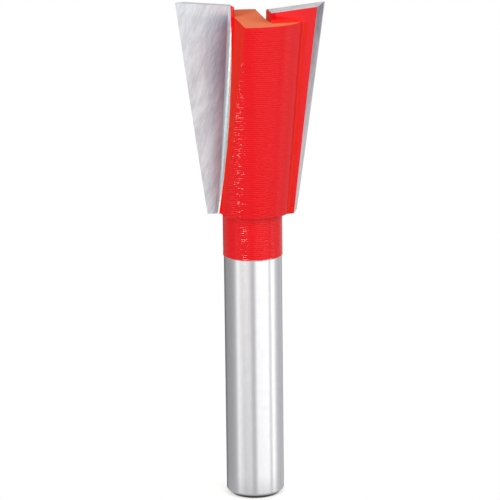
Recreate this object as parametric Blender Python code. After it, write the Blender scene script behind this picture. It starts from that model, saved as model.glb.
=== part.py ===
"""Dovetail cutter: a router bit with a turned steel body and two brazed carbide tips.

The bit stands on the end of its shank, with its axis on Z. Each tip is laid out in a flute's own
frame: "along" runs outwards in the blade's face, square to the axis, and "ahead" runs out of the
face, the way the blade cuts. Flute a has its cutting edge at -X and flute b is its half-turn copy.
"""

import math

import bmesh
import bpy
from mathutils import Matrix, Vector

# Shank and neck
SHANK_DIAMETER = 0.00635
SHANK_LENGTH = 0.0272
SHANK_BEVEL = 0.00056
NECK_DIAMETER = 0.00652
NECK_LENGTH = 0.00475
NECK_FILLET = 0.0002

# Steel head, a cone that widens towards the cutting end
HEAD_LENGTH = 0.0213
HEAD_BASE_DIAMETER = 0.0082
HEAD_TOP_DIAMETER = 0.0124
HEAD_EDGE_BREAK = 0.00008

# Carbide tips
CUTTING_DIAMETER = 0.0161
CUTTING_LENGTH = 0.02307
BLADE_ANGLE = math.radians(7.6)
TIP_THICKNESS = 0.0020
TIP_LEAST_WIDTH = 0.00025
HOOK_ANGLE = math.radians(10.6)
SHEAR_ANGLE = math.radians(3.9)
CLEARANCE_ANGLE = math.radians(21.0)
DISH_ANGLE = math.radians(5.6)
END_RELIEF_ANGLE = math.radians(3.6)

# Inner side of a tip: it leans outwards towards the shank, and flares on an arc near the shoulder
SIDE_OFFSET = 0.00219
SIDE_LEAN = math.radians(4.26)
FLARE_LENGTH = 0.0063
FLARE_RADIUS = 0.039

# Gullet ahead of each tip: its wall stands off the axis, and further off towards the shank
WALL_OFFSET = 0.00150
WALL_ANGLE = math.radians(88.7)
WALL_LEAN = math.radians(4.6)
WALL_SWEEP_RADIUS = 0.900
GULLET_FILLET = 0.00045

# Silver braze between a tip and its seat, with a bead on the land and a rib above the head
SEAM_BACK = 0.00012
SEAM_SIDE = 0.00038
SEAM_CLEARANCE = 0.00002
BEAD_ON_LAND = 0.00030
BEAD_ON_TIP = 0.00045
RIB_OFFSET = 0.00148
RIB_TAPER = 0.00016

# Working allowances
CUTTER_MARGIN = 0.004
ROUND_STEPS = 96
HEIGHT_STEPS = 14
FILLET_STEPS = 4
SMOOTH_ANGLE = math.radians(30.0)

# Heights and radii that follow from the sizes above
NECK_START = SHANK_LENGTH
SHOULDER = SHANK_LENGTH + NECK_LENGTH
HEAD_TOP = SHOULDER + HEAD_LENGTH
TIP_TOP = SHOULDER + CUTTING_LENGTH
SHANK_RADIUS = SHANK_DIAMETER / 2
NECK_RADIUS = NECK_DIAMETER / 2
HEAD_BASE_RADIUS = HEAD_BASE_DIAMETER / 2
HEAD_TOP_RADIUS = HEAD_TOP_DIAMETER / 2
CUTTING_RADIUS = CUTTING_DIAMETER / 2

ALONG = Vector((-math.cos(HOOK_ANGLE), -math.sin(HOOK_ANGLE)))
AHEAD = Vector((math.sin(HOOK_ANGLE), -math.cos(HOOK_ANGLE)))
HALF_TURN = Matrix.Rotation(math.pi, 4, "Z")


def clear_scene():
    """Remove whatever the file holds, so that the cutter stands alone."""
    for obj in list(bpy.data.objects):
        bpy.data.objects.remove(obj, do_unlink=True)


def new_material(name, colour, roughness, metallic):
    """A Principled material of one colour."""
    material = bpy.data.materials.new(name)
    material.use_nodes = True
    shader = material.node_tree.nodes["Principled BSDF"]
    shader.inputs["Base Color"].default_value = (*colour, 1.0)
    shader.inputs["Roughness"].default_value = roughness
    shader.inputs["Metallic"].default_value = metallic
    return material


def finish_object(name, mesh_data, material=None):
    """Wrap a bmesh in an object, with its faces outwards and its round sides smooth."""
    bmesh.ops.remove_doubles(mesh_data, verts=mesh_data.verts, dist=1e-8)
    bmesh.ops.recalc_face_normals(mesh_data, faces=mesh_data.faces)
    mesh = bpy.data.meshes.new(name)
    mesh_data.to_mesh(mesh)
    mesh_data.free()
    mesh.shade_smooth()
    mesh.set_sharp_from_angle(angle=SMOOTH_ANGLE)
    if material:
        mesh.materials.append(material)
    obj = bpy.data.objects.new(name, mesh)
    bpy.context.collection.objects.link(obj)
    return obj


def turned(name, profile, material):
    """Spin an open profile of (radius, height) points round Z. Each end becomes one flat face."""
    work = bmesh.new()
    verts = [work.verts.new((radius, 0.0, height)) for radius, height in profile]
    edges = [work.edges.new(pair) for pair in zip(verts, verts[1:])]
    bmesh.ops.spin(
        work,
        geom=verts + edges,
        cent=(0.0, 0.0, 0.0),
        axis=(0.0, 0.0, 1.0),
        angle=2 * math.pi,
        steps=ROUND_STEPS,
        use_merge=True,
    )
    hubs = [vert for vert in work.verts if vert.co.xy.length == 0.0]
    bmesh.ops.dissolve_verts(work, verts=hubs)
    return finish_object(name, work, material)


def lofted(name, sections, material=None, trim=None):
    """Skin a stack of closed sections of equal count, cap both ends, and trim by a plane."""
    work = bmesh.new()
    rings = [[work.verts.new(point) for point in section] for section in sections]
    for lower, upper in zip(rings, rings[1:]):
        for i in range(len(lower)):
            j = (i + 1) % len(lower)
            work.faces.new((lower[i], lower[j], upper[j], upper[i]))
    work.faces.new(list(reversed(rings[0])))
    work.faces.new(rings[-1])
    if trim:
        point, normal = trim
        cut = bmesh.ops.bisect_plane(
            work,
            geom=work.verts[:] + work.edges[:] + work.faces[:],
            plane_co=point,
            plane_no=normal,
            clear_outer=True,
        )
        rim = [item for item in cut["geom_cut"] if isinstance(item, bmesh.types.BMEdge)]
        bmesh.ops.edgeloop_fill(work, edges=rim)
    return finish_object(name, work, material)


def placed(along, ahead, height):
    """A point of flute a's frame in world coordinates."""
    plan = along * ALONG + ahead * AHEAD
    return Vector((plan.x, plan.y, height))


def head_levels():
    """Evenly spaced levels from the shoulder to the top of the head."""
    return [SHOULDER + HEAD_LENGTH * i / HEIGHT_STEPS for i in range(HEIGHT_STEPS + 1)]


def cutter_levels():
    """The head's levels, and one more past each end for a cut that runs through."""
    past = CUTTER_MARGIN / 4
    return [SHOULDER - past] + head_levels() + [HEAD_TOP + past]


def head_radius(height):
    """Radius of the steel cone."""
    share = (height - SHOULDER) / HEAD_LENGTH
    return HEAD_BASE_RADIUS + share * (HEAD_TOP_RADIUS - HEAD_BASE_RADIUS)


def edge_radius(height):
    """Radius that the cutting edge sweeps."""
    return CUTTING_RADIUS - (TIP_TOP - height) * math.tan(BLADE_ANGLE)


def face_setback(height):
    """How far the blade's face lies behind the axis. It leans with the shear angle."""
    return CUTTING_RADIUS * math.sin(HOOK_ANGLE) - (TIP_TOP - height) * math.tan(SHEAR_ANGLE)


def edge_along(height):
    """Where the cutting edge lies in the face."""
    return math.sqrt(edge_radius(height) ** 2 - face_setback(height) ** 2)


def heel_along(height):
    """Where the clearance face meets the back of the tip."""
    rake = math.asin(face_setback(height) / edge_radius(height))
    return edge_along(height) - TIP_THICKNESS * math.tan(rake + CLEARANCE_ANGLE)


def gullet_along(height):
    """Where the gullet's wall would meet the plane of the blade's face."""
    drop = HEAD_TOP - height
    sweep = math.copysign(drop * drop / (2 * WALL_SWEEP_RADIUS), drop)
    return WALL_OFFSET + drop * math.tan(WALL_LEAN) + sweep


def fillet_rise(along, height):
    """Height of the gullet's fillet above the plane of the blade's face."""
    short = GULLET_FILLET - (along - gullet_along(height))
    short = min(max(short, 0.0), GULLET_FILLET)
    return GULLET_FILLET - math.sqrt(GULLET_FILLET**2 - short**2)


def side_along(height):
    """Inner side of the tip, in the plane of the blade's face."""
    flare = max(SHOULDER + FLARE_LENGTH - height, 0.0)
    straight = SIDE_OFFSET + (HEAD_TOP - height) * math.tan(SIDE_LEAN)
    return straight + flare * flare / (2 * FLARE_RADIUS)


def root_along(height):
    """Inner side of the tip at its back, which always stays inside its heel."""
    return min(side_along(height), heel_along(height) - TIP_LEAST_WIDTH)


def body_profile():
    """Outline of the turned body, from the axis at the shank's end to the axis at the top."""
    step = NECK_RADIUS - SHANK_RADIUS
    points = [
        (0.0, 0.0),
        (SHANK_RADIUS - SHANK_BEVEL, 0.0),
        (SHANK_RADIUS, SHANK_BEVEL),
        (SHANK_RADIUS, NECK_START - abs(step)),
        (NECK_RADIUS, NECK_START),
    ]
    for i in range(FILLET_STEPS + 1):
        turn = math.pi / 2 * i / FILLET_STEPS
        points.append(
            (
                NECK_RADIUS + NECK_FILLET * (1 - math.cos(turn)),
                SHOULDER - NECK_FILLET * (1 - math.sin(turn)),
            )
        )
    points += [
        (HEAD_BASE_RADIUS - HEAD_EDGE_BREAK, SHOULDER),
        (head_radius(SHOULDER + HEAD_EDGE_BREAK), SHOULDER + HEAD_EDGE_BREAK),
        (head_radius(HEAD_TOP - HEAD_EDGE_BREAK), HEAD_TOP - HEAD_EDGE_BREAK),
        (HEAD_TOP_RADIUS - HEAD_EDGE_BREAK, HEAD_TOP),
        (0.0, HEAD_TOP),
    ]
    return points


def gullet_cutter(name):
    """What the milling of a gullet removes, swept up the head with a fillet in its corner."""
    reach = CUTTING_RADIUS + CUTTER_MARGIN
    wall = Vector((math.cos(WALL_ANGLE), math.sin(WALL_ANGLE)))
    corner_shift = GULLET_FILLET / math.tan(WALL_ANGLE / 2)
    centre = Vector((corner_shift, GULLET_FILLET))
    outline = [Vector((reach, 0.0)), reach * (Vector((1.0, 0.0)) + wall), reach * wall]
    for i in range(FILLET_STEPS + 1):
        turn = WALL_ANGLE + math.pi / 2 + (math.pi - WALL_ANGLE) * i / FILLET_STEPS
        outline.append(centre + GULLET_FILLET * Vector((math.cos(turn), math.sin(turn))))
    sections = []
    for height in cutter_levels():
        corner = Vector((gullet_along(height), -face_setback(height)))
        sections.append([placed(*(corner + point), height) for point in outline])
    return lofted(name, sections)


def seat_cutter(name):
    """What the milling of a tip's seat removes, open ahead of the face and at both ends."""
    reach = CUTTING_RADIUS + CUTTER_MARGIN
    depth = TIP_THICKNESS + SEAM_BACK
    sections = []
    for height in cutter_levels():
        front = side_along(height) - SEAM_SIDE
        back = root_along(height) - SEAM_SIDE
        face = -face_setback(height)
        outline = [
            (back, face - depth),
            (reach, face - depth),
            (reach, face + TIP_THICKNESS),
            (2 * front - back, face + TIP_THICKNESS),
            (front, face),
        ]
        sections.append([placed(*point, height) for point in outline])
    return lofted(name, sections)


def carbide_tip(name, material):
    """A tip: ground face, cutting edge, clearance face, dished and relieved end."""
    sections = []
    for height in head_levels() + [TIP_TOP + CUTTER_MARGIN / 4]:
        face = -face_setback(height)
        outline = [
            (side_along(height), face),
            (root_along(height), face - TIP_THICKNESS),
            (heel_along(height), face - TIP_THICKNESS),
            (edge_along(height), face),
        ]
        sections.append([placed(*point, height) for point in outline])
    return lofted(name, sections, material, trim=end_plane())


def end_plane():
    """A point and the normal of the end that both tips are ground to: dished and relieved."""
    corner = placed(edge_along(TIP_TOP), -face_setback(TIP_TOP), TIP_TOP)
    rise = Vector((math.tan(DISH_ANGLE), math.tan(END_RELIEF_ANGLE)))
    plan = rise.x * ALONG + rise.y * AHEAD
    normal = Vector((-plan.x, -plan.y, 1.0)).normalized()
    return corner, normal


def seam_outline(height):
    """Section of the braze in the head: beside the tip, behind it, and the bead on the land."""
    face = -face_setback(height)
    back = face - TIP_THICKNESS - SEAM_CLEARANCE
    seat = face - TIP_THICKNESS - SEAM_BACK + SEAM_CLEARANCE
    seat_front = side_along(height) - SEAM_SIDE + SEAM_CLEARANCE
    seat_back = root_along(height) - SEAM_SIDE + SEAM_CLEARANCE
    outer = head_radius(min(height, HEAD_TOP)) + SEAM_CLEARANCE
    mouth = math.sqrt(max(outer * outer - seat * seat, 0.0))
    mouth = max(mouth, root_along(height) + SEAM_BACK)
    bead_radius = math.hypot(mouth, seat)
    bead_turn = math.atan2(seat, mouth) - BEAD_ON_LAND / bead_radius
    return [
        (seat_front, face + fillet_rise(seat_front, height)),
        (seat_back, seat),
        (mouth, seat),
        (bead_radius * math.cos(bead_turn), bead_radius * math.sin(bead_turn)),
        (min(mouth + BEAD_ON_TIP, heel_along(height)), back),
        (root_along(height) - SEAM_CLEARANCE, back),
        (side_along(height) - SEAM_CLEARANCE, face),
    ]


def rib_outline(height):
    """Section of the braze above the head, a rib that stays on the inner side of the tip."""
    face = -face_setback(height)
    back = face - TIP_THICKNESS
    rib_back = RIB_OFFSET + RIB_TAPER
    side = side_along(height) - SEAM_CLEARANCE
    points = [(RIB_OFFSET, face)]
    for i in range(5):
        points.append((rib_back + (side - rib_back) * i / 4, back))
    return points + [(side, face)]


def braze_seam(name, material):
    """The braze of a tip. Its rib stands on the head's end and is ground off with the tip."""
    sections = [(seam_outline(height), height) for height in head_levels()]
    foot = HEAD_TOP + SEAM_CLEARANCE
    sections.append((seam_outline(foot), foot))
    for height in (foot + SEAM_CLEARANCE, TIP_TOP):
        sections.append((rib_outline(height), height))
    rings = [[placed(*point, height) for point in outline] for outline, height in sections]
    return lofted(name, rings, material, trim=end_plane())


def half_turned(source, name):
    """A copy of an object, turned half way round the axis."""
    copy = bpy.data.objects.new(name, source.data)
    bpy.context.collection.objects.link(copy)
    copy.matrix_world = HALF_TURN @ source.matrix_world
    return copy


def cut(body, cutter):
    """Take a cutter's volume from the body and keep the cutter as a hidden guide."""
    cutter.hide_render = True
    cutter.display_type = "WIRE"
    modifier = body.modifiers.new(cutter.name, "BOOLEAN")
    modifier.operation = "DIFFERENCE"
    modifier.object = cutter


def build():
    """Make the cutter: one steel body, two tips and the braze that holds them."""
    clear_scene()
    paint = new_material("red_enamel_on_steel", (0.85, 0.02, 0.03), 0.25, 0.0)
    carbide = new_material("ground_carbide", (0.62, 0.62, 0.66), 0.3, 1.0)
    silver = new_material("silver_braze", (0.85, 0.85, 0.88), 0.3, 1.0)

    body = turned("cutter_body", body_profile(), paint)
    gullet_a = gullet_cutter("gullet_cutter_a")
    seat_a = seat_cutter("seat_cutter_a")
    gullet_b = half_turned(gullet_a, "gullet_cutter_b")
    seat_b = half_turned(seat_a, "seat_cutter_b")
    for cutter in (gullet_a, gullet_b, seat_a, seat_b):
        cut(body, cutter)

    tip_a = carbide_tip("carbide_tip_a", carbide)
    half_turned(tip_a, "carbide_tip_b")
    seam_a = braze_seam("braze_seam_a", silver)
    half_turned(seam_a, "braze_seam_b")


build()
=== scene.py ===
"""Looks of the dovetail cutter: finer skins for its pieces, finishes, a floor and a light tent.

Lengths are metres in the part's own frame: the shank stands on Z = 0 and the axis is Z. A blade's
plan has "along" outwards in its face and "ahead" out of that face. Blade a cuts at -X, and blade b
is its copy, turned by half a turn.
"""

import math

import bpy
from mathutils import Matrix, Vector
from mathutils.geometry import tessellate_polygon
from mathutils.noise import noise


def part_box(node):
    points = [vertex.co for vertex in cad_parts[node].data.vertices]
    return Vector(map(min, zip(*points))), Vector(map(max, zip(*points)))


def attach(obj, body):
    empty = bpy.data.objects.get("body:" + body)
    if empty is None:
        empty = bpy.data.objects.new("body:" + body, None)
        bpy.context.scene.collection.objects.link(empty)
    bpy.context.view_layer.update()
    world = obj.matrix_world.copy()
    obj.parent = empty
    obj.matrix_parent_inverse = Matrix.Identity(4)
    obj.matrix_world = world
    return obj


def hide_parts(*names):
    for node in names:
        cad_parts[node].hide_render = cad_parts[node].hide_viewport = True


MM = 0.001

# Shank and neck
SHANK_RADIUS = 3.175 * MM
SHANK_BEVEL = 0.56 * MM
BEVEL_ROUNDING = 0.14 * MM
NECK_RADIUS = 3.26 * MM
NECK_START = 27.2 * MM
NECK_FILLET = 0.2 * MM

# Head
SHOULDER = 31.95 * MM
HEAD_BASE_RADIUS = 4.1 * MM
HEAD_TOP_RADIUS = 6.2 * MM
HEAD_EDGE_BREAK = 0.08 * MM

# Carbide tips
BLADE_ANGLE = math.radians(7.6)
TIP_THICKNESS = 2.0 * MM
TIP_LEAST_WIDTH = 0.25 * MM
HOOK_ANGLE = math.radians(10.6)
SHEAR_ANGLE = math.radians(3.9)
CLEARANCE_ANGLE = math.radians(21.0)
DISH_ANGLE = math.radians(5.6)
END_RELIEF_ANGLE = math.radians(3.6)
SIDE_OFFSET = 2.19 * MM
SIDE_LEAN = math.radians(4.26)
FLARE_LENGTH = 6.3 * MM
FLARE_RADIUS = 39 * MM

# Gullets, seats and braze
WALL_OFFSET = 1.50 * MM
WALL_ANGLE = math.radians(88.7)
WALL_LEAN = math.radians(4.6)
WALL_SWEEP_RADIUS = 900 * MM
GULLET_FILLET = 0.45 * MM
LAND_ROUNDING = 0.06 * MM
SEAM_BACK = 0.12 * MM
SEAM_SIDE = 0.38 * MM
SEAM_GAP = 0.006 * MM
BEAD_ON_LAND = 0.30 * MM
BEAD_ON_TIP = 0.45 * MM
BEAD_SUNK = 0.02 * MM

# The bead's edges wander in two waves: (share of the bead's reach, height of a radian, phase)
BEAD_WAVES = ((0.12, 0.9 * MM, 0.0), (0.08, 0.37 * MM, 1.0))

# Braze above the head: a rib along each tip's inner side, and a bead along the foot of its back
RIB_OFFSET = 1.48 * MM
RIB_TAPER = 0.16 * MM
RIB_ROUNDING = 0.10 * MM
RIB_DROP = 0.09 * MM
TOP_BEAD_WIDTH = 0.60 * MM
TOP_BEAD_HEIGHT = 0.42 * MM
TOP_BEAD_INSET = 0.02 * MM

# Turning marks. The neck's have a share of the full depth. The head's are full beside the gullet,
# and lose MARK_WEAR of it between two shares of the way round the cone to the next tip.
MARK_PITCH = 0.22 * MM
MARK_DEPTH = 0.034 * MM
NECK_MARKS = 0.75
MARK_WEAR = 0.6
WEAR_FROM = 0.10
WEAR_TO = 0.40

# Their depth and their lie wander, in noise that changes this often a millimetre along X, Y and Z
DEPTH_WANDER = 1.3
DEPTH_CHANGES = (3.1, 3.1, 4.3)
MARK_SWAY = 2.2
SWAY_CHANGES = (1.7, 1.7, 1.1)

# Paint: it starts on the neck. Beside a tip the wheel that ground the face took it off, up to an
# arc of this radius, which comes nearest to the axis at this height. On the rib's end it is off
# beyond GROUND_END. PAINTED is the cover of a point well inside the paint.
PAINT_LINE = 27.2 * MM
GROUND_OFFSET = 1.87 * MM
GROUND_HEIGHT = 52.2 * MM
GROUND_RADIUS = 111 * MM
GROUND_END = 1.70 * MM
PAINTED = 1.0 * MM
PAINT_SOFTNESS = 0.012 * MM

# The shank's bevel darkens towards the foot: painted shade for the shadow that it would mirror
# there
FOOT_SHADE_FADE = (0.32 * MM, 0.48 * MM)
FOOT_SHADE_COLOUR = (0.06, 0.045, 0.05)

# Painted reflection on a tip: its face darkens beside the braze, where it mirrors the dark gullet.
# How far that reaches at the shoulder and at the head's end, and how it fades above the head. The
# clearance side is darkened higher up, also painted reflection, and the end a little all over.
LOW_DARK_REACH = 1.5 * MM
HIGH_DARK_REACH = 3.4 * MM
DARK_FALL = 1.15
DARK_FADE = 0.6 * MM
LOW_DARK = 0.3
DARK_ON_CLEARANCE = 0.95
CLEARANCE_FALL = 1.5
END_DARKENING = 0.25

# What a noise node mostly stays between
NOISE_RANGE = (0.3, 0.7)

# Carbide: the lay of its grinding streaks, and the noise at which they are dark and light
FACE_LAY = (0.0, math.radians(22.0), 0.0)
SIDE_LAY = (0.0, math.radians(8.0), 0.0)
STREAK_RANGE = (0.38, 0.60)

# Mesh density
ROUND_STEPS = 128
ARC_STEPS = 78
SEAT_STEPS = 2
WALL_STEPS = 5
FILLET_STEPS = 10
ROUNDING_STEPS = 4
MARK_RINGS = 4
LEAST_RING_STEP = 0.3
SHANK_ROWS = 12
SHANK_TOP_RING = 0.1 * MM
TIP_ROWS = 60
SIDE_STEPS = 6
END_PASSES = 6
SEAM_ROWS = 160
FRONT_STEPS = 5
BEAD_STEPS = 7
RIB_ROWS = 8
RIB_COLUMNS = FRONT_STEPS + ROUNDING_STEPS + 3
TOP_BEAD_ROWS = 36
SMOOTH_ANGLE = math.radians(32.0)

# Material slots of the steel body, of a tip and of its braze
SHANK_FINISH, HEAD_FINISH, GULLET_FINISH, END_FINISH = range(4)
FACE_FINISH, CLEARANCE_FINISH, BACK_FINISH = range(3)
BRAZE_FINISH, RIB_FINISH = range(2)

# Sides of a tip, in their order round it, and the slot of each
INNER, BACK, CLEARANCE, FACE = range(4)
SIDE_FINISHES = {
    INNER: BACK_FINISH,
    BACK: BACK_FINISH,
    CLEARANCE: CLEARANCE_FINISH,
    FACE: FACE_FINISH,
}

# Floor
FLOOR_RADIUS = 0.0055
FLOOR_STEPS = 96
FLOOR_COLOUR = (0.80, 0.80, 0.80, 1.0)
FLOOR_LIFT = 0.45

# Tent: its roof and its skirt, with the heights of direction between which they fade in. The skirt
# is darker for the light that it gives than for what metal mirrors. LOW_GLOW is two such heights,
# then the strength of the whole tent below them and above them.
ROOF = (0.60, 0.60, 0.60)
ROOF_RISE = (0.55, 0.85)
SKIRT = (0.11, 0.08, 0.09)
MIRRORED_SKIRT = (0.46, 0.45, 0.46)
SKIRT_RISE = (-0.385, -0.32)
LOW_GLOW = (-0.33, -0.24, 1.06, 0.96)

# Panels dimmer than this are a little bluer
DIM_BELOW = 0.7
DIM_BLUE = 1.03

# The tent's walls as the cutter sees them: (azimuth in degrees, brightness). 0 is towards the
# camera and 90 is to its right.
TENT = [
    (-180, 0.30),
    (-165, 0.14),
    (-150, 0.18),
    (-138, 0.32),
    (-97, 0.40),
    (-80, 0.54),
    (-74, 0.80),
    (-64, 1.28),
    (-48, 0.95),
    (-40, 0.68),
    (-28, 0.74),
    (-20, 0.92),
    (-13, 0.92),
    (-7, 0.66),
    (0, 0.62),
    (4, 0.72),
    (9, 1.12),
    (14, 1.43),
    (60, 1.50),
    (64, 1.05),
    (71, 0.82),
    (77, 1.42),
    (82, 1.60),
    (88, 1.42),
    (96, 0.95),
    (105, 0.68),
    (127, 0.54),
    (145, 0.60),
    (180, 0.30),
]

# The wall behind the cutter, from low to high: (height of the direction, brightness). It fades in
# between two azimuths, to either side.
BACK_TURNS = (math.radians(158), math.radians(168))
BACK_WALL = [
    (-1.0, 0.12),
    (-0.12, 0.20),
    (0.02, 0.85),
    (0.12, 0.85),
    (0.17, 0.30),
    (0.29, 0.30),
    (0.34, 0.95),
    (1.0, 0.95),
]

# Lamps: (name, azimuth and elevation in degrees, width, height, radiance, colour)
LAMP_DISTANCE = 0.30
LAMPS = [
    ("strip_left", -33.0, 8.0, 0.11, 0.032, 30.0, (1.0, 0.93, 0.82)),
    ("panel_left", -70.0, 28.0, 0.20, 0.20, 0.4, (1.0, 1.0, 1.0)),
    ("panel_right", 62.0, 25.0, 0.20, 0.20, 1.6, (1.0, 1.0, 1.0)),
]

# The camera, placed so that the cutter fills the frame as it does in the photograph
CAMERA_PLACE = Vector((0.0, -0.33576, 0.10954))
CAMERA_DIP = 0.2393
CAMERA_YAW = -0.0009
CAMERA_ROLL = -0.0116
FOCAL_PIXELS = 3159.2
IMAGE_PIXELS = 500
SENSOR_WIDTH = 36.0
CLIP_NEAR = 0.01
CLIP_FAR = 10.0

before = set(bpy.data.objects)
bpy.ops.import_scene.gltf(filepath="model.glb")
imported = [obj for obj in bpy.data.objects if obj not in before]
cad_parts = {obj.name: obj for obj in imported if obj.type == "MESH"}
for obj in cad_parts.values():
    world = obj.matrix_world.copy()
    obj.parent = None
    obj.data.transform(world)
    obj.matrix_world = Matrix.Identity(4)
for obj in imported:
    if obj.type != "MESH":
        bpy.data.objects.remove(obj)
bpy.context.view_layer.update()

# Heights and reaches that the frame gives
TIP_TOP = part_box("carbide_tip_a")[1].z
HEAD_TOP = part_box("cutter_body")[1].z
CUTTING_RADIUS = -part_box("carbide_tip_a")[0].x

ALONG = Vector((-math.cos(HOOK_ANGLE), -math.sin(HOOK_ANGLE)))
AHEAD = Vector((math.sin(HOOK_ANGLE), -math.cos(HOOK_ANGLE)))
HALF_TURN = Matrix.Rotation(math.pi, 4, "Z")


def placed(plan, height):
    """A point of blade a's plan in world coordinates."""
    spot = plan.x * ALONG + plan.y * AHEAD
    return Vector((spot.x, spot.y, height))


def between(start, end, steps):
    """Points from start towards end, without the last one."""
    return [start.lerp(end, i / steps) for i in range(steps)]


def spaced(start, end, steps):
    """Evenly spaced numbers from start to end, both included."""
    return [start + (end - start) * i / steps for i in range(steps + 1)]


def on_circle(radius, turn):
    """A point of a plan circle."""
    return Vector((radius * math.cos(turn), radius * math.sin(turn)))


def head_radius(height):
    """Radius of the steel cone, with its edges broken at both ends."""
    share = (height - SHOULDER) / (HEAD_TOP - SHOULDER)
    cone = HEAD_BASE_RADIUS + share * (HEAD_TOP_RADIUS - HEAD_BASE_RADIUS)
    low = HEAD_BASE_RADIUS - HEAD_EDGE_BREAK + (height - SHOULDER)
    high = HEAD_TOP_RADIUS - HEAD_EDGE_BREAK + (HEAD_TOP - height)
    return min(cone, low, high)


def wander(spot, changes):
    """Noise that changes this often a millimetre along each axis."""
    return noise(Vector([often * place for often, place in zip(changes, spot)]))


def mark_dip(radius, turn, height):
    """How far the turning marks dip below the surface here."""
    spot = Vector((radius * math.cos(turn), radius * math.sin(turn), height)) / MM
    depth = 1.0 + DEPTH_WANDER * wander(spot, DEPTH_CHANGES)
    phase = 2 * math.pi * height / MARK_PITCH + MARK_SWAY * wander(spot, SWAY_CHANGES)
    return MARK_DEPTH * depth * (0.5 - 0.5 * math.cos(phase))


def mark_levels(low, high):
    """Heights of the rings between two heights, which cut every turning mark at the same places."""
    step = MARK_PITCH / MARK_RINGS
    first = math.ceil(low / step + LEAST_RING_STEP)
    last = math.floor(high / step - LEAST_RING_STEP)
    return [low] + [i * step for i in range(first, last + 1)] + [high]


def edge_radius(height):
    """Radius that the cutting edge sweeps."""
    return CUTTING_RADIUS - (TIP_TOP - height) * math.tan(BLADE_ANGLE)


def face_setback(height):
    """How far the blade's face lies behind the axis."""
    return CUTTING_RADIUS * math.sin(HOOK_ANGLE) - (TIP_TOP - height) * math.tan(SHEAR_ANGLE)


def edge_along(height):
    """Where the cutting edge lies in the face."""
    return math.sqrt(edge_radius(height) ** 2 - face_setback(height) ** 2)


def heel_along(height):
    """Where the clearance face meets the back of the tip."""
    rake = math.asin(face_setback(height) / edge_radius(height))
    return edge_along(height) - TIP_THICKNESS * math.tan(rake + CLEARANCE_ANGLE)


def gullet_along(height):
    """Where the gullet's wall would meet the plane of the blade's face."""
    drop = HEAD_TOP - height
    sweep = math.copysign(drop * drop / (2 * WALL_SWEEP_RADIUS), drop)
    return WALL_OFFSET + drop * math.tan(WALL_LEAN) + sweep


def side_along(height):
    """Inner side of the tip, in the plane of the blade's face."""
    flare = max(SHOULDER + FLARE_LENGTH - height, 0.0)
    straight = SIDE_OFFSET + (HEAD_TOP - height) * math.tan(SIDE_LEAN)
    return straight + flare * flare / (2 * FLARE_RADIUS)


def root_along(height):
    """Inner side of the tip at its back, which always stays inside its heel."""
    return min(side_along(height), heel_along(height) - TIP_LEAST_WIDTH)


def fillet_foot(height):
    """Where the gullet's fillet runs out into the plane of the blade's face."""
    return gullet_along(height) + GULLET_FILLET / math.tan(WALL_ANGLE / 2)


def fillet_rise(along, height):
    """Height of the gullet's fillet above the plane of the blade's face."""
    short = min(max(fillet_foot(height) - along, 0.0), GULLET_FILLET)
    return GULLET_FILLET - math.sqrt(GULLET_FILLET**2 - short**2)


def ground_cover(along, rise, height):
    """How far inside the ground arc a point lies: below zero it is bare metal."""
    edge = GROUND_OFFSET + (GROUND_HEIGHT - height) ** 2 / (2 * GROUND_RADIUS)
    return edge - (along - rise * math.tan(HOOK_ANGLE))


def end_height(along, ahead):
    """Height of the plane that a tip's end is ground to."""
    corner = edge_along(TIP_TOP)
    dish = (along - corner) * math.tan(DISH_ANGLE)
    relief = (ahead + face_setback(TIP_TOP)) * math.tan(END_RELIEF_ANGLE)
    return TIP_TOP + dish + relief


def even_normals(obj):
    """Shade an object by its larger faces, and keep its sharp edges."""
    weighted = obj.modifiers.new("even_normals", "WEIGHTED_NORMAL")
    weighted.keep_sharp = True


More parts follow.
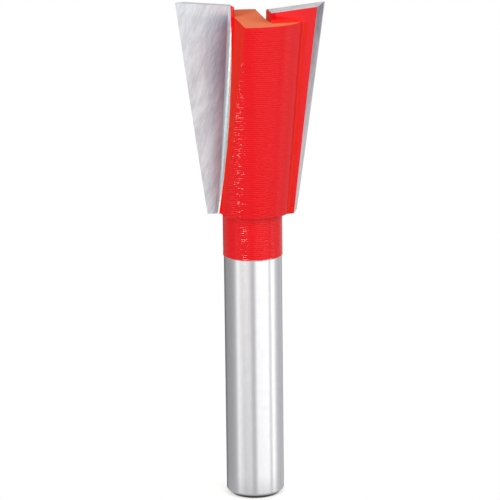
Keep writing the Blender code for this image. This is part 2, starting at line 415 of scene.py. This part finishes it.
class Skin:
    """Vertices and faces with their material slots, gathered for one mesh.

    Each vertex carries cover, which is below zero where metal is bare, and darkening, from 0 to 1.
    """

    def __init__(self):
        self.points = []
        self.cover = []
        self.darkening = []
        self.faces = []
        self.slots = []

    def ring(self, points, cover, darkening=None):
        """Add a ring of vertices and return their numbers."""
        start = len(self.points)
        self.points += [tuple(point) for point in points]
        self.cover += list(cover)
        self.darkening += list(darkening or [0.0] * len(points))
        return list(range(start, len(self.points)))

    def join(self, lower, upper, slots):
        """Quads between two rings of equal count. slots has one number for each side."""
        count = len(lower)
        for i in range(count):
            j = (i + 1) % count
            self.faces.append((lower[i], lower[j], upper[j], upper[i]))
            self.slots.append(slots[i])

    def loft(self, rings, slots):
        """Quads from each ring to the next."""
        for lower, upper in zip(rings, rings[1:]):
            self.join(lower, upper, slots)

    def cap(self, ring, slot, up=True):
        """One face over a ring."""
        self.faces.append(tuple(ring) if up else tuple(reversed(ring)))
        self.slots.append(slot)

    def end(self, ring, slot, cover, darkening=None, up=True):
        """One face over a ring, on vertices of its own."""
        spots = [self.points[i] for i in ring]
        self.cap(self.ring(spots, cover, darkening), slot, up)

    def annulus(self, outer, inner, slot):
        """The flat ledge between two rings, facing down."""
        order = outer + inner
        corners = [[Vector(self.points[i]) for i in ring] for ring in (outer, inner)]
        for triangle in tessellate_polygon(corners):
            a, b, c = (order[i] for i in triangle)
            first, second = (Vector(self.points[i]) - Vector(self.points[a]) for i in (b, c))
            down = first.cross(second).z < 0
            self.faces.append((a, b, c) if down else (a, c, b))
            self.slots.append(slot)

    def build(self, name, materials):
        """The finished object, smooth on its round sides."""
        mesh = bpy.data.meshes.new(name)
        mesh.from_pydata(self.points, [], self.faces)
        mesh.attributes.new("cover", "FLOAT", "POINT").data.foreach_set("value", self.cover)
        mesh.attributes.new("darkening_share", "FLOAT", "POINT").data.foreach_set("value", self.darkening)
        for material in materials:
            mesh.materials.append(material)
        mesh.polygons.foreach_set("material_index", self.slots)
        mesh.shade_smooth()
        mesh.set_sharp_from_angle(angle=SMOOTH_ANGLE)
        mesh.validate()
        obj = bpy.data.objects.new(name, mesh)
        bpy.context.collection.objects.link(obj)
        even_normals(obj)
        return obj


def gullet_floor(height):
    """Evenly spaced points from the seat's edge, over the ledge and up the fillet, with cover."""
    face = -face_setback(height)
    start = side_along(height) - SEAM_SIDE
    foot = fillet_foot(height)
    centre = Vector((foot, face + GULLET_FILLET))
    flat = max(start - foot, 0.0)
    first = math.asin(min(max((foot - start) / GULLET_FILLET, 0.0), 1.0))
    length = flat + GULLET_FILLET * (math.pi - WALL_ANGLE - first)
    points = []
    for distance in spaced(0.0, length, FILLET_STEPS):
        if distance < flat:
            points.append(Vector((start - distance, face)))
        else:
            turn = -math.pi / 2 - first - (distance - flat) / GULLET_FILLET
            points.append(centre + on_circle(GULLET_FILLET, turn))
    return points, [ground_cover(point.x, point.y - face, height) for point in points]


def half_head_section(height):
    """Half of the head's section, from a tip's seat round to the next seat, with its cover."""
    radius = head_radius(height)
    face = -face_setback(height)

    # The seat, the ledge and the fillet
    floor = face - TIP_THICKNESS - SEAM_BACK
    root = Vector((root_along(height) - SEAM_SIDE, floor))
    mouth = math.sqrt(max(radius**2 - floor**2, 0.0))
    ledge, ledge_cover = gullet_floor(height)
    points = between(Vector((max(mouth, root.x + SEAM_BACK), floor)), root, SEAT_STEPS)
    points += between(root, ledge[0], SEAT_STEPS)
    cover = [PAINTED] * len(points) + ledge_cover
    points += ledge

    # The wall runs out to the land, and their corner is a small round
    wall = on_circle(1.0, WALL_ANGLE)
    out = Vector((wall.y, -wall.x))
    start = points[-1]
    side = start.dot(out) + LAND_ROUNDING
    inner = radius - mark_dip(radius, WALL_ANGLE - side / radius, height) - LAND_ROUNDING
    lift = math.sqrt(max(inner**2 - side**2, 0.0))
    hub = out * side + wall * lift
    for share in spaced(0.0, 1.0, WALL_STEPS)[1:]:
        points.append(start + wall * share * (lift - start.dot(wall)))
        cover.append(ground_cover(points[-1].x, points[-1].y - face, height))
    land_turn = math.atan2(hub.y, hub.x)
    for turn in spaced(WALL_ANGLE + math.pi / 2, land_turn, ROUNDING_STEPS)[1:]:
        points.append(hub + on_circle(LAND_ROUNDING, turn))

    # The cone with its turning marks, round to the next seat
    end_turn = math.pi + math.atan2(floor, mouth)
    for turn in spaced(land_turn, end_turn, ARC_STEPS)[1:-1]:
        share = (turn - land_turn) / (end_turn - land_turn)
        worn = min(max((share - WEAR_FROM) / (WEAR_TO - WEAR_FROM), 0.0), 1.0)
        left = 1.0 - MARK_WEAR * worn
        points.append(on_circle(radius - left * mark_dip(radius, turn, height), turn))
    cover += [PAINTED] * (len(points) - len(cover))
    return points, cover


def head_ring(skin, height):
    """The head's whole section at one height."""
    points, cover = half_head_section(height)
    whole = points + [-point for point in points]
    return skin.ring([placed(point, height) for point in whole], cover * 2)


def round_ring(skin, radius, height, marked):
    """A ring of the neck or the shank. marked is the share of the turning marks' depth."""
    turns = [2 * math.pi * i / ROUND_STEPS for i in range(ROUND_STEPS)]
    dips = [marked * mark_dip(radius, turn, height) for turn in turns]
    points = [(*on_circle(radius - dip, turn), height) for turn, dip in zip(turns, dips)]
    return skin.ring(points, [height - PAINT_LINE] * ROUND_STEPS)


def shank_profile():
    """(radius, height, marked) from the foot of the shank to the shoulder."""
    cut = BEVEL_ROUNDING * math.tan(math.pi / 8)
    low = Vector((SHANK_RADIUS - SHANK_BEVEL - cut, BEVEL_ROUNDING))
    high = Vector((SHANK_RADIUS - BEVEL_ROUNDING, SHANK_BEVEL + cut))
    roundings = ((low, -math.pi / 2, -math.pi / 4), (high, -math.pi / 4, 0.0))
    points = []
    for centre, start, end in roundings:
        for turn in spaced(start, end, ROUNDING_STEPS):
            points.append((*(centre + on_circle(BEVEL_ROUNDING, turn)), 0.0))

    # The last ring but one lies close to the neck, so that the neck's edge doesn't shade the shank
    shank_top = NECK_START - (NECK_RADIUS - SHANK_RADIUS)
    levels = spaced(SHANK_BEVEL + 2 * cut, shank_top - SHANK_TOP_RING, SHANK_ROWS)
    for height in levels[1:] + [shank_top]:
        points.append((SHANK_RADIUS, height, 0.0))
    neck_top = SHOULDER - NECK_FILLET
    for height in mark_levels(NECK_START, neck_top):
        points.append((NECK_RADIUS, height, NECK_MARKS if height > NECK_START else 0.0))
    for turn in spaced(0.0, math.pi / 2, ROUNDING_STEPS)[1:]:
        reach = NECK_FILLET * (1 - math.cos(turn))
        height = neck_top + NECK_FILLET * math.sin(turn)
        points.append((NECK_RADIUS + reach, height, NECK_MARKS * math.cos(turn)))
    return points


def steel_body(materials):
    """Shank, neck and head, with the turning marks as real grooves."""
    skin = Skin()
    shank = [round_ring(skin, *level) for level in shank_profile()]
    skin.cap(shank[0], SHANK_FINISH, up=False)
    skin.loft(shank, [SHANK_FINISH] * ROUND_STEPS)
    levels = mark_levels(SHOULDER + HEAD_EDGE_BREAK, HEAD_TOP - HEAD_EDGE_BREAK)
    head = [head_ring(skin, height) for height in [SHOULDER] + levels + [HEAD_TOP]]
    skin.annulus(head[0], shank[-1], HEAD_FINISH)
    seat = 2 * SEAT_STEPS
    gullet = FILLET_STEPS + WALL_STEPS
    cone = len(head[0]) // 2 - seat - gullet
    half = [HEAD_FINISH] * seat + [GULLET_FINISH] * gullet + [HEAD_FINISH] * cone
    skin.loft(head, half * 2)
    skin.end(head[-1], END_FINISH, [PAINTED] * len(head[-1]))
    return skin.build("steel_body", materials)


def tip_column(height, side, share):
    """A plan point on the outline of a tip, a share of the way along one of its sides."""
    face = -face_setback(height)
    back = face - TIP_THICKNESS
    corners = [
        Vector((side_along(height), face)),
        Vector((root_along(height), back)),
        Vector((heel_along(height), back)),
        Vector((edge_along(height), face)),
    ]
    return corners[side].lerp(corners[(side + 1) % len(corners)], share)


def end_of_column(column):
    """Height at which a column of a tip or a rib meets the ground end."""
    top = TIP_TOP
    for _ in range(END_PASSES):
        top = end_height(*column(top))
    return top


def tip_darkening(side, plan, height):
    """How much a tip is darkened here, from 0 to 1: a painted reflection. It is more, higher up."""
    share = (height - SHOULDER) / (HEAD_TOP - SHOULDER)
    if side == CLEARANCE:
        return DARK_ON_CLEARANCE * max(share, 0.0) ** CLEARANCE_FALL
    reach = LOW_DARK_REACH + share * (HIGH_DARK_REACH - LOW_DARK_REACH)
    away = (plan.x - side_along(height)) / reach
    above = max(height - HEAD_TOP, 0.0) / DARK_FADE
    strength = min(LOW_DARK + share, 1.0) * max(1.0 - above, 0.0)
    return min(max(1.0 - away, 0.0), 1.0) ** DARK_FALL * strength


def carbide_tip(name, materials):
    """A tip: its rows follow the shoulder below and the dished, relieved end above."""
    columns = [(side, i / SIDE_STEPS) for side in SIDE_FINISHES for i in range(SIDE_STEPS)]
    tops = [end_of_column(lambda top: tip_column(top, *column)) for column in columns]
    skin = Skin()
    rings = []
    for row in spaced(0.0, 1.0, TIP_ROWS):
        points = []
        cover = []
        darkening = []
        for (side, share), top in zip(columns, tops):
            height = SHOULDER + row * (top - SHOULDER)
            plan = tip_column(height, side, share)
            points.append(placed(plan, height))
            painted = side == BACK or (side == INNER and share > 0)
            cover.append(PAINTED if painted else 0.0)
            darkening.append(tip_darkening(side, plan, height))
        rings.append(skin.ring(points, cover, darkening))
    skin.loft(rings, [SIDE_FINISHES[side] for side, _ in columns])
    bare = [0.0] * len(columns)
    tinge = [END_DARKENING] * len(columns)
    skin.end(rings[0], CLEARANCE_FINISH, bare, tinge, up=False)
    skin.end(rings[-1], CLEARANCE_FINISH, bare, tinge)
    return skin.build(name, materials)


def seam_section(height):
    """The braze round a tip: its ground front, its film behind the tip and its concave bead."""
    face = -face_setback(height)
    back = face - TIP_THICKNESS - SEAM_GAP
    seat = face - TIP_THICKNESS - SEAM_BACK + SEAM_GAP
    front = side_along(height) - SEAM_SIDE + SEAM_GAP
    root = root_along(height) - SEAM_SIDE + SEAM_GAP
    outer = head_radius(height)
    mouth = max(math.sqrt(max(outer**2 - seat**2, 0.0)), root + SEAM_BACK)
    waves = [share * math.sin(height / radian + phase) for share, radian, phase in BEAD_WAVES]
    reach = 1.0 + sum(waves)
    land_turn = math.atan2(seat, mouth) - BEAD_ON_LAND * reach / outer
    on_land = on_circle(outer - BEAD_SUNK, land_turn)
    on_back = Vector((min(mouth + BEAD_ON_TIP * reach, heel_along(height)), back))
    corner = on_circle(outer, math.atan2(back, mouth))
    bead = []
    for share in spaced(0.0, 1.0, BEAD_STEPS):
        bead.append(on_land.lerp(corner, share).lerp(corner.lerp(on_back, share), share))
    points = [Vector((root, seat)), Vector((mouth, seat))] + bead
    points += [Vector((root_along(height) - SEAM_GAP, back))]
    cover = [PAINTED] * len(points)
    side = Vector((side_along(height) - SEAM_GAP, face))
    for along in spaced(side.x, front, FRONT_STEPS):
        rise = fillet_rise(along, height)
        points.append(Vector((along, face + rise)))
        cover.append(ground_cover(along, rise, height))
    return points, cover


def rib_column(height, i):
    """A plan point of the rib: its front, its rounded shoulder, its back, then the tip's side."""
    face = -face_setback(height)
    back = face - TIP_THICKNESS
    side = side_along(height) - SEAM_GAP
    shoulder = RIB_OFFSET + RIB_ROUNDING
    if i <= FRONT_STEPS:
        along = side + (shoulder - side) * i / FRONT_STEPS
        return Vector((along, face + fillet_rise(along, height)))
    top = face + fillet_rise(shoulder, height) - RIB_ROUNDING
    i -= FRONT_STEPS
    if i <= ROUNDING_STEPS:
        turn = math.pi / 2 * (1 + i / ROUNDING_STEPS)
        return Vector((shoulder, top)) + on_circle(RIB_ROUNDING, turn)
    if i == ROUNDING_STEPS + 1:
        return Vector((RIB_OFFSET + RIB_TAPER, back))
    return Vector((side, back))


def rib(skin):
    """The braze beside a tip above the head. Its end is ground with the tip's."""
    columns = range(RIB_COLUMNS)
    foot = HEAD_TOP + SEAM_GAP

    # Towards the axis, where paint is left on the end, the end drops below the ground plane
    tops = []
    for i in columns:
        top = end_of_column(lambda height: rib_column(height, i))
        short = max(GROUND_END - rib_column(top, i).x, 0.0) / (GROUND_END - RIB_OFFSET)
        tops.append(top - RIB_DROP * short**2)
    rings = []
    for row in spaced(0.0, 1.0, RIB_ROWS):
        points = []
        cover = []
        for i, top in zip(columns, tops):
            height = foot + row * (top - foot)
            plan = rib_column(height, i)
            rise = plan.y + face_setback(height)
            points.append(placed(plan, height))
            in_front = i <= FRONT_STEPS + ROUNDING_STEPS
            cover.append(ground_cover(plan.x, rise, height) if in_front else PAINTED)
        rings.append(skin.ring(points, cover))
    skin.loft(rings, [BRAZE_FINISH] * FRONT_STEPS + [RIB_FINISH] * (RIB_COLUMNS - FRONT_STEPS))
    skin.cap(rings[0], RIB_FINISH, up=False)
    plans = [rib_column(top, i) for i, top in zip(columns, tops)]
    skin.end(rings[-1], RIB_FINISH, [GROUND_END - plan.x for plan in plans])


def top_bead(skin):
    """The bead along the foot of a tip's back, on the flat end of the head."""
    back = -face_setback(HEAD_TOP) - TIP_THICKNESS - SEAM_GAP
    low = HEAD_TOP + SEAM_GAP
    rim = head_radius(HEAD_TOP)
    far = math.sqrt(rim**2 - back**2)
    rings = []
    for along in spaced(RIB_OFFSET + RIB_TAPER, far - TOP_BEAD_INSET, TOP_BEAD_ROWS):
        room = math.sqrt(rim**2 - along**2) + back
        width = min(TOP_BEAD_WIDTH, room)
        points = [placed(Vector((along, back)), low)]
        for share in spaced(0.0, 1.0, BEAD_STEPS):
            out = width * (1.0 - share) ** 2
            lift = TOP_BEAD_HEIGHT * share**2
            points.append(placed(Vector((along, back - out)), low + lift))
        rings.append(skin.ring(points, [PAINTED] * len(points)))
    skin.loft(rings, [BRAZE_FINISH] * len(rings[0]))
    skin.cap(rings[0], BRAZE_FINISH, up=False)
    skin.cap(rings[-1], BRAZE_FINISH)


def braze_seam(name, materials):
    """The braze of one tip, which is darker towards the shoulder."""
    skin = Skin()
    rings = []
    for height in spaced(SHOULDER, HEAD_TOP, SEAM_ROWS):
        plans, cover = seam_section(height)
        darkened = (HEAD_TOP - height) / (HEAD_TOP - SHOULDER)
        points = [placed(plan, height) for plan in plans]
        rings.append(skin.ring(points, cover, [darkened] * len(points)))
    skin.loft(rings, [BRAZE_FINISH] * len(rings[0]))
    skin.cap(rings[0], BRAZE_FINISH, up=False)
    skin.cap(rings[-1], BRAZE_FINISH)
    rib(skin)
    top_bead(skin)
    return skin.build(name, materials)


def half_turned(source, name):
    """A copy of an object, turned half way round the axis."""
    copy = bpy.data.objects.new(name, source.data)
    bpy.context.collection.objects.link(copy)
    copy.matrix_world = HALF_TURN @ source.matrix_world
    even_normals(copy)
    return copy


def put(tree, kind, inputs=None, **settings):
    """Add a shader node. An input is a value, or another node's output, which is linked."""
    made = tree.nodes.new(kind)
    for name, value in settings.items():
        setattr(made, name, value)
    for name, value in (inputs or {}).items():
        if isinstance(value, bpy.types.NodeSocket):
            tree.links.new(value, made.inputs[name])
        else:
            made.inputs[name].default_value = value
    return made


def math_node(tree, operation, *values, clamp=False):
    """The result of a Math node."""
    inputs = dict(enumerate(values))
    return put(tree, "ShaderNodeMath", inputs, operation=operation, use_clamp=clamp).outputs[0]


def noise_node(tree, scale, detail=2.0, turn=(0.0, 0.0, 0.0), shift=0.0):
    """Noise in the object's own coordinates. scale has features a metre along each turned axis."""
    place = put(tree, "ShaderNodeTexCoord").outputs["Object"]
    sizes = tuple(1.0 / number for number in scale)
    mapping = {"Vector": place, "Rotation": turn, "Scale": sizes, "Location": (shift, shift, shift)}
    spot = put(tree, "ShaderNodeMapping", mapping, vector_type="TEXTURE").outputs[0]
    inputs = {"Vector": spot, "Scale": 1.0, "Detail": detail, "Roughness": 0.6}
    return put(tree, "ShaderNodeTexNoise", inputs).outputs["Fac"]


def ranged(tree, value, low, high, to_low, to_high):
    """A value taken from one range to another, held at its ends."""
    inputs = {
        "Value": value,
        "From Min": low,
        "From Max": high,
        "To Min": to_low,
        "To Max": to_high,
    }
    return put(tree, "ShaderNodeMapRange", inputs).outputs[0]


def tinted(tree, share, dark, light):
    """A colour between two, each a colour or another node's output."""
    ends = [end if isinstance(end, bpy.types.NodeSocket) else (*end, 1.0) for end in (dark, light)]

    # A Mix node keeps its two colours in sockets 6 and 7, and their mix in output 2
    inputs = {"Factor": share, 6: ends[0], 7: ends[1]}
    return put(tree, "ShaderNodeMix", inputs, data_type="RGBA").outputs[2]


def bump(tree, height, depth):
    """A normal from a height between 0 and 1, which stands for this depth."""
    inputs = {"Height": height, "Distance": depth, "Strength": 1.0}
    return put(tree, "ShaderNodeBump", inputs).outputs[0]


def read_darkening(tree):
    """How much the colour is darkened: painted reflection on a tip, and lower down on the braze."""
    return put(tree, "ShaderNodeAttribute", attribute_name="darkening_share").outputs["Fac"]


def enamel(tree, gloss=0.25, sheen=0.12, red=0.77, green=0.0045):
    """Red enamel, with the slight waviness of a dipped coat."""
    cloud = noise_node(tree, (420.0, 420.0, 420.0))
    skin = noise_node(tree, (7000.0, 7000.0, 7000.0), 1.0)
    dark = (red - 0.03, green * 0.7, 0.007)
    light = (red + 0.03, green * 1.3, 0.012)
    inputs = {
        "Base Color": tinted(tree, cloud, dark, light),
        "Roughness": ranged(tree, cloud, *NOISE_RANGE, 0.12, 0.18),
        "IOR": 1.5,
        "Specular IOR Level": gloss,
        "Sheen Weight": sheen,
        "Sheen Roughness": 0.4,
        "Sheen Tint": (1.0, 0.50, 0.23, 1.0),
        "Normal": bump(tree, skin, 0.0035 * MM),
    }
    return put(tree, "ShaderNodeBsdfPrincipled", inputs).outputs[0]


def lit_gullet_enamel(tree):
    """The enamel of the gullets' walls; its brighter base is painted light, as they face from the
    lamps.
    """
    return enamel(tree, gloss=0.0, sheen=0.25, red=0.94)


def end_enamel(tree):
    """The enamel of the head's end, dusty and orange in the light."""
    return enamel(tree, gloss=0.0, sheen=0.80, red=0.68)


def highlighted_braze_enamel(tree):
    """The enamel over the beads of braze; its more orange base is a painted highlight."""
    return enamel(tree, gloss=0.1, sheen=0.4, red=0.82, green=0.016)


def shaded_rib_enamel(tree):
    """The enamel on the sides of the ribs; its darker base is painted shade."""
    return enamel(tree, gloss=0.05, sheen=0.0, red=0.62)


def ground_steel(tree):
    """Steel ground between centres: fine rings, which draw reflections out along the axis."""
    rings = noise_node(tree, (260.0, 260.0, 26000.0), 2.0)
    patches = noise_node(tree, (2600.0, 2600.0, 900.0), 3.0)
    steel = tinted(tree, patches, (0.76, 0.76, 0.78), (0.86, 0.86, 0.87))
    place = put(tree, "ShaderNodeTexCoord").outputs["Object"]
    height = put(tree, "ShaderNodeSeparateXYZ", {0: place}).outputs["Z"]
    inputs = {
        # Painted shade: the colour darkens towards the foot
        "Base Color": tinted(tree, ranged(tree, height, *FOOT_SHADE_FADE, 0.0, 1.0), FOOT_SHADE_COLOUR, steel),
        "Metallic": 1.0,
        "Roughness": ranged(tree, rings, *NOISE_RANGE, 0.18, 0.24),
        "Anisotropic": 0.75,
        "Anisotropic Rotation": 0.25,
        "Tangent": put(tree, "ShaderNodeTangent", direction_type="RADIAL", axis="Z").outputs[0],
        "Normal": bump(tree, rings, 0.0006 * MM),
    }
    return put(tree, "ShaderNodeBsdfPrincipled", inputs).outputs[0]


def bare_metal(tree, dark, light, roughness, speck_scale, metallic, darkened=None):
    """Ground metal without a lay. darkened is a darker colour that it turns to where the mesh says,
    if given.
    """
    specks = noise_node(tree, (speck_scale, speck_scale, speck_scale * 0.5), 3.0)
    colour = tinted(tree, ranged(tree, specks, 0.35, 0.6, 0.0, 1.0), dark, light)
    if darkened:
        colour = tinted(tree, read_darkening(tree), colour, darkened)
    inputs = {
        "Base Color": colour,
        "Metallic": metallic,
        "Roughness": ranged(tree, specks, *NOISE_RANGE, roughness + 0.08, roughness),
        "Normal": bump(tree, specks, 0.004 * MM),
    }
    return put(tree, "ShaderNodeBsdfPrincipled", inputs).outputs[0]


def ledge_steel(tree):
    """The steel ledge beside a tip, ground with the tip's face."""
    return bare_metal(tree, (0.55, 0.54, 0.51), (0.72, 0.71, 0.67), 0.34, 5200.0, 0.6)


def seam_silver(tree):
    """The silver braze beside a tip; its bluish base is a painted reflection of the tent."""
    darkened = (0.36, 0.44, 0.50)
    return bare_metal(tree, (0.41, 0.65, 0.77), (0.51, 0.75, 0.87), 0.36, 4200.0, 0.25, darkened)


def rib_silver(tree):
    """The silver braze on the ground end of a rib."""
    return bare_metal(tree, (0.52, 0.54, 0.57), (0.64, 0.66, 0.69), 0.36, 4200.0, 0.25)


def ground_carbide(tree, lay, dark, light, mirrored_dark):
    """Carbide ground across: long streaks in one direction, over softer bands and painted
    reflection.
    """
    streaks = noise_node(tree, (7000.0, 7000.0, 420.0), 3.0, lay)
    bands = noise_node(tree, (1300.0, 1300.0, 150.0), 2.0, lay, 0.37)
    both = math_node(tree, "MULTIPLY", math_node(tree, "ADD", streaks, bands), 0.5)
    clean = tinted(tree, ranged(tree, both, *STREAK_RANGE, 0.0, 1.0), dark, light)
    broken = ranged(tree, both, *STREAK_RANGE, 1.15, 0.75)
    # Painted reflection: the darkening turns the colour towards mirrored_dark
    darkening = math_node(tree, "MULTIPLY", read_darkening(tree), broken, clamp=True)
    inputs = {
        "Base Color": tinted(tree, darkening, clean, mirrored_dark),
        "Metallic": 0.8,
        "Roughness": ranged(tree, both, 0.35, 0.65, 0.44, 0.34),
        "Normal": bump(tree, streaks, 0.0016 * MM),
    }
    return put(tree, "ShaderNodeBsdfPrincipled", inputs).outputs[0]


def face_carbide(tree, lay=FACE_LAY):
    """A tip's face."""
    return ground_carbide(tree, lay, (0.515, 0.54, 0.575), (0.645, 0.67, 0.705), (0.24, 0.34, 0.44))


def back_carbide(tree):
    """A tip's back and inner side, as ground as its face."""
    return face_carbide(tree, SIDE_LAY)


def lit_clearance_carbide(tree):
    """A tip's clearance side and its end; their base, brighter than the face's, is painted light.
    """
    return ground_carbide(tree, SIDE_LAY, (0.84, 0.81, 0.83), (1.0, 0.96, 0.98), (0.31, 0.28, 0.34))


def new_finish(name):
    """An empty material and its node tree."""
    material = bpy.data.materials.new(name)
    material.use_nodes = True
    material.node_tree.nodes.clear()
    return material, material.node_tree


def coated(name, bare, coat, ragged):
    """Enamel over a bare metal, along an edge that wanders by about ragged millimetres."""
    material, tree = new_finish(name)
    cover = put(tree, "ShaderNodeAttribute", attribute_name="cover").outputs["Fac"]
    swing = math_node(tree, "SUBTRACT", noise_node(tree, (900.0, 900.0, 900.0), 4.0), 0.5)
    edge = math_node(tree, "MULTIPLY", swing, 4 * ragged * MM)
    shifted = math_node(tree, "ADD", cover, edge)
    share = ranged(tree, shifted, -PAINT_SOFTNESS, PAINT_SOFTNESS, 0.0, 1.0)
    inputs = {0: share, 1: bare(tree), 2: coat(tree)}
    mixed = put(tree, "ShaderNodeMixShader", inputs).outputs[0]
    put(tree, "ShaderNodeOutputMaterial", {"Surface": mixed})
    return material


def plain(name, shader):
    """A material that is one finish all over."""
    material, tree = new_finish(name)
    put(tree, "ShaderNodeOutputMaterial", {"Surface": shader(tree)})
    return material


def body_finishes():
    """Materials of the steel body, in the order of its slots."""
    return [
        coated("ground_shank", ground_steel, enamel, 0.05),
        plain("enamelled_head", enamel),
        coated("enamelled_gullet", ledge_steel, lit_gullet_enamel, 0.02),
        plain("enamelled_end", end_enamel),
    ]


def tip_finishes():
    """Materials of a tip, in the order of its slots."""
    return [
        plain("carbide_face", face_carbide),
        plain("carbide_clearance", lit_clearance_carbide),
        coated("enamelled_carbide", back_carbide, enamel, 0.03),
    ]


def braze_finishes():
    """Materials of the braze, in the order of its slots."""
    return [
        coated("silver_braze", seam_silver, highlighted_braze_enamel, 0.02),
        coated("silver_rib", rib_silver, shaded_rib_enamel, 0.02),
    ]


def dress():
    """Put the finer skins in the place of the CAD nodes."""
    body = steel_body(body_finishes())
    tip_a = carbide_tip("ground_tip_a", tip_finishes())
    tip_b = half_turned(tip_a, "ground_tip_b")
    seam_a = braze_seam("silver_seam_a", braze_finishes())
    seam_b = half_turned(seam_a, "silver_seam_b")
    stands_for = [
        (body, "cutter_body", "body"),
        (tip_a, "carbide_tip_a", "carbide"),
        (tip_b, "carbide_tip_b", "carbide"),
        (seam_a, "braze_seam_a", "braze"),
        (seam_b, "braze_seam_b", "braze"),
    ]
    for piece, node, slot in stands_for:
        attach(piece, "root")
        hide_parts(node)


def levels_ramp(tree, share, levels):
    """A ramp of grey levels. levels has (share, level) pairs."""
    ramp = put(tree, "ShaderNodeValToRGB", {"Fac": share})
    stops = ramp.color_ramp.elements
    while len(stops) > 1:
        stops.remove(stops[-1])
    for i, (place, level) in enumerate(levels):
        stop = stops[0] if i == 0 else stops.new(place)
        stop.position = place
        blue = level * DIM_BLUE if level < DIM_BELOW else level
        stop.color = (level, level, blue, 1.0)
    return ramp.outputs[0]


def tent_world():
    """A white room to the camera, and a soft tent of panels to everything else."""
    world = bpy.data.worlds.new("tent")
    bpy.context.scene.world = world
    world.use_nodes = True
    tree = world.node_tree
    tree.nodes.clear()
    path = put(tree, "ShaderNodeLightPath").outputs
    way = put(tree, "ShaderNodeTexCoord").outputs["Generated"]
    parts = put(tree, "ShaderNodeSeparateXYZ", {0: way}).outputs
    towards = math_node(tree, "MULTIPLY", parts["Y"], -1.0)
    azimuth = math_node(tree, "ARCTAN2", parts["X"], towards)

    # The walls, with another look behind the cutter
    share = ranged(tree, azimuth, -math.pi, math.pi, 0.0, 1.0)
    around = levels_ramp(tree, share, [((angle + 180) / 360, level) for angle, level in TENT])
    rise = ranged(tree, parts["Z"], -1.0, 1.0, 0.0, 1.0)
    behind = levels_ramp(tree, rise, [((z + 1) / 2, level) for z, level in BACK_WALL])
    backness = ranged(tree, math_node(tree, "ABSOLUTE", azimuth), *BACK_TURNS, 0.0, 1.0)
    walls = tinted(tree, backness, around, behind)

    # The skirt below them and the roof above
    skirt = tinted(tree, path["Is Glossy Ray"], SKIRT, MIRRORED_SKIRT)
    walls = tinted(tree, ranged(tree, parts["Z"], *SKIRT_RISE, 1.0, 0.0), walls, skirt)
    walls = tinted(tree, ranged(tree, parts["Z"], *ROOF_RISE, 0.0, 1.0), walls, ROOF)
    glow = ranged(tree, parts["Z"], *LOW_GLOW)
    tent = put(tree, "ShaderNodeBackground", {0: walls, 1: glow}).outputs[0]
    white = put(tree, "ShaderNodeBackground", {0: (1.0, 1.0, 1.0, 1.0), 1: 1.0}).outputs[0]
    shares = {0: path["Is Camera Ray"], 1: tent, 2: white}
    mixed = put(tree, "ShaderNodeMixShader", shares).outputs[0]
    put(tree, "ShaderNodeOutputWorld", {"Surface": mixed})


def white_floor():
    """A small round table top, which keeps the cutter's shadow and isn't mirrored in its foot."""
    material, tree = new_finish("white_table")
    path = put(tree, "ShaderNodeLightPath").outputs
    seen = math_node(tree, "MAXIMUM", path["Is Camera Ray"], path["Is Glossy Ray"])
    seen = math_node(tree, "MAXIMUM", seen, path["Is Transmission Ray"])
    lift = math_node(tree, "MULTIPLY", seen, FLOOR_LIFT)
    matt = put(tree, "ShaderNodeBsdfDiffuse", {"Color": FLOOR_COLOUR}).outputs[0]
    glow = put(tree, "ShaderNodeEmission", {"Strength": lift}).outputs[0]
    both = put(tree, "ShaderNodeAddShader", {0: matt, 1: glow}).outputs[0]
    put(tree, "ShaderNodeOutputMaterial", {"Surface": both})
    turns = [2 * math.pi * i / FLOOR_STEPS for i in range(FLOOR_STEPS)]
    rim = [(*on_circle(FLOOR_RADIUS, turn), 0.0) for turn in turns]
    mesh = bpy.data.meshes.new("floor")
    mesh.from_pydata(rim, [], [tuple(range(FLOOR_STEPS))])
    mesh.materials.append(material)
    floor = bpy.data.objects.new("floor", mesh)
    bpy.context.collection.objects.link(floor)
    floor.visible_glossy = False


def softbox(name, azimuth, elevation, width, height, radiance, colour):
    """An area lamp that looks at the middle of the head."""
    turn = math.radians(azimuth)
    lift = math.radians(elevation)
    flat = math.cos(lift)
    way = Vector((math.sin(turn) * flat, -math.cos(turn) * flat, math.sin(lift)))
    data = bpy.data.lights.new(name, "AREA")
    data.shape = "RECTANGLE"
    data.size = width
    data.size_y = height
    data.energy = radiance * math.pi * width * height
    data.color = colour
    lamp = bpy.data.objects.new(name, data)
    bpy.context.collection.objects.link(lamp)
    lamp.location = Vector((0.0, 0.0, (SHOULDER + HEAD_TOP) / 2)) + way * LAMP_DISTANCE
    lamp.rotation_mode = "QUATERNION"
    lamp.rotation_quaternion = way.to_track_quat("Z", "Y")
    lamp.visible_camera = False


def aim_camera():
    """A long lens, looking slightly down."""
    data = bpy.data.cameras.new("camera")
    data.sensor_width = SENSOR_WIDTH
    data.lens = FOCAL_PIXELS / IMAGE_PIXELS * data.sensor_width
    data.clip_start = CLIP_NEAR
    data.clip_end = CLIP_FAR
    camera = bpy.data.objects.new("camera", data)
    bpy.context.collection.objects.link(camera)
    flat = math.cos(CAMERA_DIP)
    level = Vector((math.cos(CAMERA_YAW), -math.sin(CAMERA_YAW), 0.0))
    forward = Vector(
        (math.sin(CAMERA_YAW) * flat, math.cos(CAMERA_YAW) * flat, -math.sin(CAMERA_DIP))
    )
    upright = level.cross(forward)
    right = math.cos(CAMERA_ROLL) * level + math.sin(CAMERA_ROLL) * upright
    up = math.cos(CAMERA_ROLL) * upright - math.sin(CAMERA_ROLL) * level
    pose = Matrix((right, up, -forward)).transposed().to_4x4()
    pose.translation = CAMERA_PLACE
    camera.matrix_world = pose
    bpy.context.scene.camera = camera


bpy.context.scene.view_settings.view_transform = "Standard"
dress()
tent_world()
white_floor()
for lamp in LAMPS:
    softbox(*lamp)
aim_camera()

bpy.context.view_layer.update()
